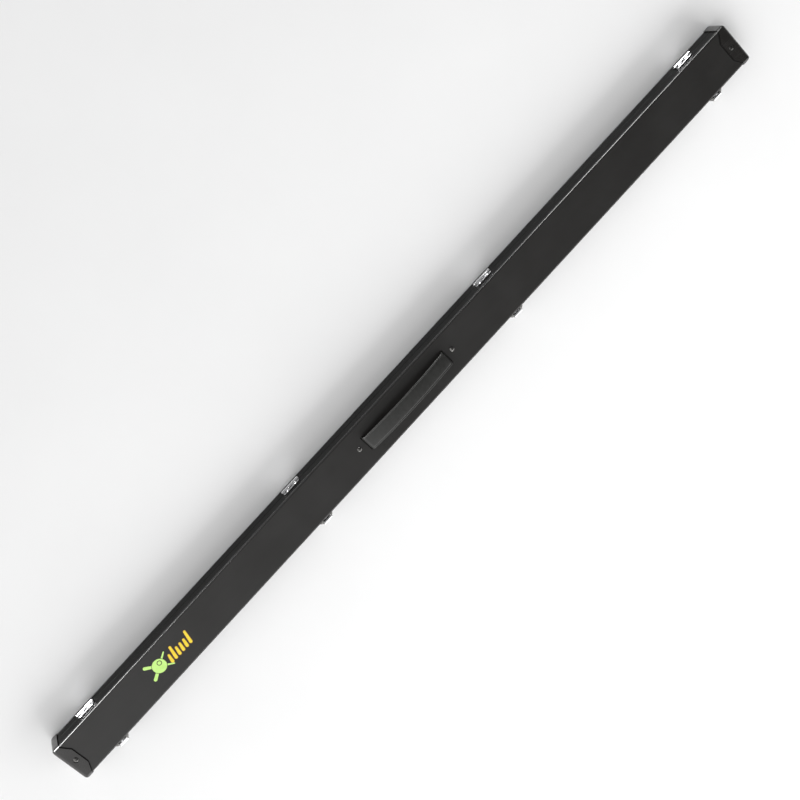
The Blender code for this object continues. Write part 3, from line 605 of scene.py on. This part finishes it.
def strap_half(sign, made):
    mesh = bmesh.new()
    section = strap_section()
    rings = []
    for x, z, heading in strap_centre():
        ring = [strap_point(x, z, heading, y, t) for y, t in section]
        rings.append([Vector((sign * -point.x, point.y, point.z)) for point in ring])
    skin(mesh, rings)
    word = "left" if sign < 0 else "right"
    data = mesh_from("strap_" + word, mesh, 50)
    piece = linked("strap_" + word, data, made)
    pierce(piece, sign)
    return piece


def pierce(piece, sign):
    """Cuts the rivet's hole through the strap's tucked-in end."""
    hole = bmesh.new()
    outline = []
    for k in range(24):
        along, across = math.cos(math.pi * k / 12), math.sin(math.pi * k / 12)
        x = sign * TONGUE_HOLE_X + TONGUE_HOLE_STRETCH * TONGUE_HOLE_RADIUS * along
        outline.append((x, TONGUE_HOLE_Y + TONGUE_HOLE_RADIUS * across))
    levels = (TONGUE_Z - 0.004, TONGUE_Z + 0.0021)
    skin(hole, [[(x, y, z) for x, y in outline] for z in levels])
    cutter = bpy.data.objects.new("hole_cutter", mesh_from("hole_cutter", hole))
    bpy.context.scene.collection.objects.link(cutter)
    change = piece.modifiers.new("hole", "BOOLEAN")
    change.operation = "DIFFERENCE"
    change.solver = "EXACT"
    change.object = cutter
    settle(piece)
    bpy.data.objects.remove(cutter, do_unlink=True)


def strap_stitches(sign, made):
    """Two rows of stitches that sit in the strap's seam grooves above the lid."""
    mesh = bmesh.new()
    line = [point for point in strap_centre() if point[1] > FACE_Z + 0.001]
    lift = STRAP_HALF - 0.00062
    path = [(strap_point(x, z, heading, 0, lift), heading) for x, z, heading in line]
    lengths = [0.0]
    for (first, _), (second, _) in zip(path, path[1:]):
        lengths.append(lengths[-1] + (second - first).length)
    count = int(lengths[-1] / STITCH_PITCH)
    for number in range(count):
        target = (number + 0.5) * lengths[-1] / count
        index = max(k for k in range(len(lengths)) if lengths[k] <= target)
        index = min(index, len(path) - 2)
        share = (target - lengths[index]) / (lengths[index + 1] - lengths[index])
        middle = path[index][0].lerp(path[index + 1][0], share)
        heading = path[index][1] * (1 - share) + path[index + 1][1] * share
        for edge in (-1, 1):
            place = Vector((-sign * middle.x, edge * (STRAP_HALF_WIDTH - SEAM_FROM_EDGE), middle.z))
            run = Vector((-sign * math.cos(heading), 0, math.sin(heading)))
            blob(mesh, place, run, STITCH_LENGTH, STITCH_RADIUS)
    word = "left" if sign < 0 else "right"
    return linked("strap_stitches_" + word, mesh_from("strap_stitches_" + word, mesh, 180), made)


def make_strap(finishes):
    for sign in (-1, 1):
        for piece in (strap_half(sign, finishes["strap"]), strap_stitches(sign, finishes["thread"])):
            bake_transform(piece)
            if "stitches" not in piece.name:
                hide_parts("handle_strap")


# The linings.


def lining_profile(grooves, back):
    """The padded face as (y, h): rounded shoulders, and lips rolled into each groove (y, radius, depth)."""
    points = [(-LINING_SIDE, back), (-LINING_SIDE, 0.0030)]
    shoulder = LINING_SHOULDER
    for k in range(7):
        angle = math.radians(180 - 15 * k)
        across = -LINING_SIDE + shoulder + shoulder * math.cos(angle)
        points.append((across, 0.0028 - shoulder * math.sin(angle)))
    for centre, radius, depth in grooves:
        wide = radius - 0.0003
        lip = LINING_LIP
        for k in range(5):
            angle = math.radians(90 - 22.5 * k)
            across = centre - wide - lip + lip * math.cos(angle)
            points.append((across, 0.0007 + lip - lip * math.sin(angle)))
        straight = max(depth - radius, 0.0007 + lip)
        for k in range(1, 20):
            angle = math.radians(180 - 9 * k)
            across = centre + wide * math.cos(angle)
            points.append((across, straight + (depth - straight) * math.sin(angle)))
        for k in range(5):
            angle = math.radians(22.5 * k)
            across = centre + wide + lip - lip * math.cos(angle)
            points.append((across, 0.0007 + lip - lip * math.sin(angle)))
    for k in range(7):
        angle = math.radians(90 - 15 * k)
        across = LINING_SIDE - shoulder + shoulder * math.cos(angle)
        points.append((across, 0.0028 - shoulder * math.sin(angle)))
    return points + [(LINING_SIDE, 0.0030), (LINING_SIDE, back)]


def lining(name, node, body, side, grooves, has_keepers, made):
    """One padded length. side is +1 in the lid and -1 in the base."""
    mesh = bmesh.new()
    low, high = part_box(node)
    ends = (low.x + GAP, high.x - GAP)
    count = int((ends[1] - ends[0]) / LINING_STEP)
    rings = []
    for station in range(count + 1):
        x = ends[0] + (ends[1] - ends[0]) * station / count
        near_end = min(x - ends[0], ends[1] - x)
        tuck = LINING_TUCK * max(0.0, 1 - near_end / LINING_TUCK_REACH) ** 2
        at_keeper = has_keepers and KEEPER_ZONE[0] < abs(x) < KEEPER_ZONE[1]
        back = KEEPER_BACK if at_keeper else LINING_BACK
        ring = []
        for y, h in lining_profile(grooves, back):
            place = Vector((x * LINING_WAVES[0], y * LINING_WAVES[1], side * LINING_WAVES[2]))
            soft = 0.0 if h > back - 0.0005 else noise.noise(place)
            sunk = h + LINING_SOFT * (1 + soft) * (h < back - 0.001) + tuck * (h < back - 0.003)
            ring.append(Vector((x, y * (1 - tuck / 0.04), SEAM_Z + side * sunk)))
        rings.append(ring)
    skin(mesh, rings)
    piece = linked(name, mesh_from(name, mesh, 60), made)
    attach(piece, body)
    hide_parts(node)


def make_linings(finishes):
    velvet_finish = finishes["lining"]
    both = [(*CUE_GROOVE, BASE_DEPTHS[0]), (*REST_GROOVE, BASE_DEPTHS[1])]
    butt, shaft = [(*CUE_GROOVE, LID_BUTT_DEPTH)], [(*CUE_GROOVE, LID_SHAFT_DEPTH)]
    lining("lining_base", "base_lining", "base", -1, both, False, velvet_finish)
    lining("lining_lid_butt", "lid_butt_lining", "lid", 1, butt, False, velvet_finish)
    lining("lining_lid_shaft", "lid_shaft_lining", "lid", 1, shaft, True, velvet_finish)


# The printed mark.


def flat_piece(name, outlines, made, layer):
    """Thin printed shapes on the lid's face; each outline is a list of (x, y)."""
    mesh = bmesh.new()
    for outline in outlines:
        levels = (FACE_Z + MARK_LIFT, FACE_Z + MARK_THICK * layer)
        skin(mesh, [[(x, y, z) for x, y in outline] for z in levels])
    piece = linked(name, mesh_from(name, mesh), made)
    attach(piece, "lid")
    return piece


def disc(x, y, radius, steps=48):
    return [(x + radius * math.cos(2 * math.pi * k / steps), y + radius * math.sin(2 * math.pi * k / steps))
            for k in range(steps)]


def tapered_bar(x, y, angle, length, wide, narrow):
    """A bar from (x, y) with rounded ends, wide at its start and narrow at its end."""
    along = Vector((math.cos(angle), math.sin(angle)))
    across = Vector((-along.y, along.x))
    outline = []
    for k in range(9):
        turn = math.pi / 2 + math.pi * k / 8
        outline.append(Vector((x, y)) + wide / 2 * (math.cos(turn) * along + math.sin(turn) * across))
    for k in range(9):
        turn = -math.pi / 2 + math.pi * k / 8
        tip = Vector((x, y)) + along * length
        outline.append(tip + narrow / 2 * (math.cos(turn) * along + math.sin(turn) * across))
    return [(point.x, point.y) for point in outline]


def make_mark(finishes):
    cues, edges = [], []
    for angle in CUE_ANGLES:
        x, y = MARK_X - CUE_REACH * math.cos(angle), MARK_Y - CUE_REACH * math.sin(angle)
        cues.append(tapered_bar(x, y, angle, 2 * CUE_REACH, *CUE_WIDTHS))
        edges.append(tapered_bar(x, y, angle, 2 * CUE_REACH, *CUE_EDGE_WIDTHS))
    flat_piece("mark_cue_edges", edges, finishes["ink_dark"], 0.6)
    flat_piece("mark_cues", cues, finishes["lime"], 0.9)
    flat_piece("mark_ball_edge", [disc(MARK_X, MARK_Y, BALL_RADIUS + INK_EDGE)], finishes["ink_dark"], 1.2)
    flat_piece("mark_ball", [disc(MARK_X, MARK_Y, BALL_RADIUS)], finishes["lime"], 1.5)
    spot = (MARK_X + SPOT_OFFSET, MARK_Y + SPOT_OFFSET)
    flat_piece("mark_ball_spot", [disc(*spot, SPOT_RADIUS, 28)], finishes["ink_dark"], 1.8)
    flat_piece("mark_ball_glint", [disc(*spot, GLINT_RADIUS, 28)], finishes["lime"], 2.1)
    bars, edges = [], []
    for number in range(BARS):
        x = MARK_X + BAR_START + BAR_PITCH * number
        length = BAR_LENGTHS[number in TALL_BARS]
        bars.append(tapered_bar(x, BAR_Y, BAR_ANGLE, length, *BAR_WIDTHS))
        edges.append(tapered_bar(x, BAR_Y, BAR_ANGLE, length, *BAR_EDGE_WIDTHS))
    flat_piece("mark_bar_edges", edges, finishes["ink_rust"], 0.8)
    flat_piece("mark_bars", bars, finishes["yellow"], 1.4)


# The thin black bead round each lid cap's tab, a painted shadow line where the tab meets the panel.


def offset_line(points, distance):
    """The polyline moved sideways, to its left, by the distance."""
    moved = []
    for index, point in enumerate(points):
        before = (point - points[index - 1]).normalized() if index else None
        after = (points[index + 1] - point).normalized() if index < len(points) - 1 else None
        heads = [head for head in (before, after) if head is not None]
        normals = [Vector((-head.y, head.x)) for head in heads]
        middle = sum(normals, Vector((0, 0))).normalized()
        moved.append(point + middle * distance / middle.dot(normals[0]))
    return moved


def softened(points, radius, steps=5):
    """The polyline with each inner corner replaced by a short curve."""
    line = [points[0]]
    for before, corner, after in zip(points, points[1:], points[2:]):
        start = corner + (before - corner).normalized() * radius
        end = corner + (after - corner).normalized() * radius
        for k in range(steps + 1):
            t = k / steps
            line.append(start * (1 - t) ** 2 + corner * 2 * t * (1 - t) + end * t * t)
    return line + [points[-1]]


def make_shadow_beads(finishes):
    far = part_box("lid_right_cap")[1].x
    half = [Vector((far - inward, across)) for inward, across in TAB_LINE]
    line = softened(half + [Vector((point.x, -point.y)) for point in reversed(half)], TAB_CORNER)
    for sign, word in ((-1, "left"), (1, "right")):
        mesh = bmesh.new()
        rings = []
        rails = [offset_line(line, -GAP - share * BEAD_OUTSIDE) for share, _ in BEAD_SECTION]
        for index in range(len(line)):
            ring = []
            for rail, (_, height) in zip(rails, BEAD_SECTION):
                z = FACE_Z + BEAD_LIFT + height * BEAD_HEIGHT
                ring.append(Vector((sign * rail[index].x, rail[index].y, z)))
            rings.append(ring)
        skin(mesh, rings)
        piece = linked("cap_shadow_bead_" + word, mesh_from("cap_shadow_bead_" + word, mesh), finishes["bead"])
        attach(piece, "lid")


# Stage, lights and camera.


def make_stage(finishes):
    floor_mesh = bmesh.new()
    reach, steps = FLOOR_REACH, FLOOR_STEPS
    for row in range(steps + 1):
        for column in range(steps + 1):
            x, y = (reach * (2 * number / steps - 1) for number in (column, row))
            floor_mesh.verts.new((x, y, FLOOR_Z))
    floor_mesh.verts.ensure_lookup_table()
    for row in range(steps):
        for column in range(steps):
            corner = row * (steps + 1) + column
            rest = (corner + 1, corner + steps + 2, corner + steps + 1)
            floor_mesh.faces.new([floor_mesh.verts[k] for k in (corner, *rest)])
    linked("studio_floor", mesh_from("studio_floor", floor_mesh), finishes["floor"])


def area_light(name, place, aim, size, power, on_matt=True):
    """An area light. One that isn't on matt surfaces shows only in reflections."""
    lamp = bpy.data.lights.new(name, "AREA")
    lamp.shape = "RECTANGLE"
    lamp.size, lamp.size_y = size
    lamp.energy = power
    thing = bpy.data.objects.new(name, lamp)
    bpy.context.scene.collection.objects.link(thing)
    thing.location = place
    thing.rotation_euler = (Vector(aim) - Vector(place)).to_track_quat("-Z", "Y").to_euler()
    thing.visible_diffuse = on_matt


def make_world():
    """White surroundings, brightest beyond the left end, darker above the right end and behind."""
    world = bpy.data.worlds.new("studio")
    world.use_nodes = True
    nodes, links = world.node_tree.nodes, world.node_tree.links
    direction = nodes.new("ShaderNodeTexCoord")
    split = nodes.new("ShaderNodeSeparateXYZ")
    links.new(direction.outputs["Generated"], split.inputs[0])
    graded = []
    for axis, stops in (("X", SKY), ("Y", BEHIND)):
        scale = nodes.new("ShaderNodeMapRange")
        scale.inputs["From Min"].default_value = -1.0
        tones = nodes.new("ShaderNodeValToRGB")
        tones.color_ramp.interpolation = "EASE"
        while len(tones.color_ramp.elements) < len(stops):
            tones.color_ramp.elements.new(0.5)
        for element, (place, tone) in zip(tones.color_ramp.elements, stops):
            element.position = place
            element.color = (tone, tone, tone, 1)
        links.new(split.outputs[axis], scale.inputs["Value"])
        links.new(scale.outputs["Result"], tones.inputs["Fac"])
        graded.append(tones.outputs["Color"])
    both = nodes.new("ShaderNodeVectorMath")
    both.operation = "MULTIPLY"
    links.new(graded[0], both.inputs[0])
    links.new(graded[1], both.inputs[1])
    links.new(both.outputs["Vector"], nodes["Background"].inputs["Color"])
    bpy.context.scene.world = world


def make_lights():
    """A low, broad key from the latch side, and two upright panels reflected along the hinge edge."""
    make_world()
    bpy.context.scene.view_settings.view_transform = "Standard"
    area_light("key", (0.1, -2.2, 1.25), (0, 0, 0), (4.4, 1.6), 62)
    area_light("edge_left", (-1.43, 1.7, 0.80), (-0.75, 0, 0.04), (0.8, 0.8), 112, False)
    area_light("edge_right", (0.98, 1.7, 0.80), (0.45, 0, 0.04), (0.7, 0.8), 52, False)


def make_camera():
    flat = math.cos(CAMERA_ELEVATION)
    rise = math.sin(CAMERA_ELEVATION)
    back = Vector((flat * math.cos(CAMERA_AZIMUTH), flat * math.sin(CAMERA_AZIMUTH), rise))
    level = (Vector((1, 0, 0)) - back * back.x).normalized()
    above = back.cross(level)
    right = math.cos(CAMERA_ROLL) * level - math.sin(CAMERA_ROLL) * above
    up = math.sin(CAMERA_ROLL) * level + math.cos(CAMERA_ROLL) * above
    lens = bpy.data.cameras.new("camera")
    lens.lens = CAMERA_LENS
    lens.sensor_width = 36.0
    lens.clip_end = 50.0
    camera = bpy.data.objects.new("camera", lens)
    bpy.context.scene.collection.objects.link(camera)
    turn = Matrix((right, up, back)).transposed().to_4x4()
    camera.matrix_world = Matrix.Translation(CAMERA_AIM + back * CAMERA_DISTANCE) @ turn
    bpy.context.scene.camera = camera


def make_finishes():
    panel_tones = ((0.0078, 0.0070, 0.0062), (0.0102, 0.0093, 0.0084))
    # The rails are the same vinyl as the panel at about half its tone: painted shade on the narrow sides.
    rail_tones = ((0.0038, 0.0037, 0.0036), (0.0050, 0.0049, 0.0047))
    return {
        "panel": laminate("panel_laminate_black", *panel_tones, 0.32, 0.40, 0.5),
        "rail": laminate("rail_laminate_black", *rail_tones, 0.46, 0.54, 0.04),
        "board": plywood(),
        "cap": moulded_plastic(),
        "rivet": blackened_metal(),
        "lining": velvet(),
        "strap": leatherette(),
        "thread": thread(),
        "chrome": chrome("fitting_chrome", (0.82, 0.82, 0.83), (0.93, 0.93, 0.94), 0.07, 0.20),
        "steel": chrome("spring_steel", (0.42, 0.42, 0.43), (0.60, 0.60, 0.61), 0.25, 0.42),
        "lime": ink("ink_lime", (0.46, 0.78, 0.17), (0.60, 0.93, 0.25)),
        "yellow": ink("ink_yellow", (0.80, 0.58, 0.015), (0.95, 0.72, 0.035)),
        "ink_dark": ink("ink_dark", (0.012, 0.016, 0.006), (0.022, 0.030, 0.010)),
        "ink_rust": ink("ink_rust", (0.22, 0.09, 0.008), (0.34, 0.14, 0.012)),
        # The bead round the lid caps' tabs is a painted shadow line in near-black.
        "bead": shadow_bead_finish(),
        "floor": pale_floor(),
    }


SLOT_FINISH = {
    "panel": "panel", "rail": "rail", "end_board": "board", "cap": "cap", "cap_rivet": "rivet",
    "handle_rivet": "rivet", "handle_keeper": "steel", "lining": "lining", "handle_strap": "strap",
    "hinge": "chrome", "latch_spring": "steel", "latch": "chrome", "latch_plate": "rivet",
}


def longest_key(table, node):
    """The longest key of the table that the node's name holds, or None."""
    return max((key for key in table if key in node), key=len, default=None)


def main():
    finishes = make_finishes()
    for node in sorted(frame["nodes"]):
        made = finishes[SLOT_FINISH[longest_key(SLOT_FINISH, node)]]
        dress(node, made)
        key = longest_key(EDGE_BREAK, node)
        if key and "spring" not in node:
            refined(node, made, EDGE_BREAK[key])
    make_strap(finishes)
    make_linings(finishes)
    make_mark(finishes)
    make_shadow_beads(finishes)
    make_stage(finishes)
    make_lights()
    make_camera()
    bpy.context.view_layer.update()


main()
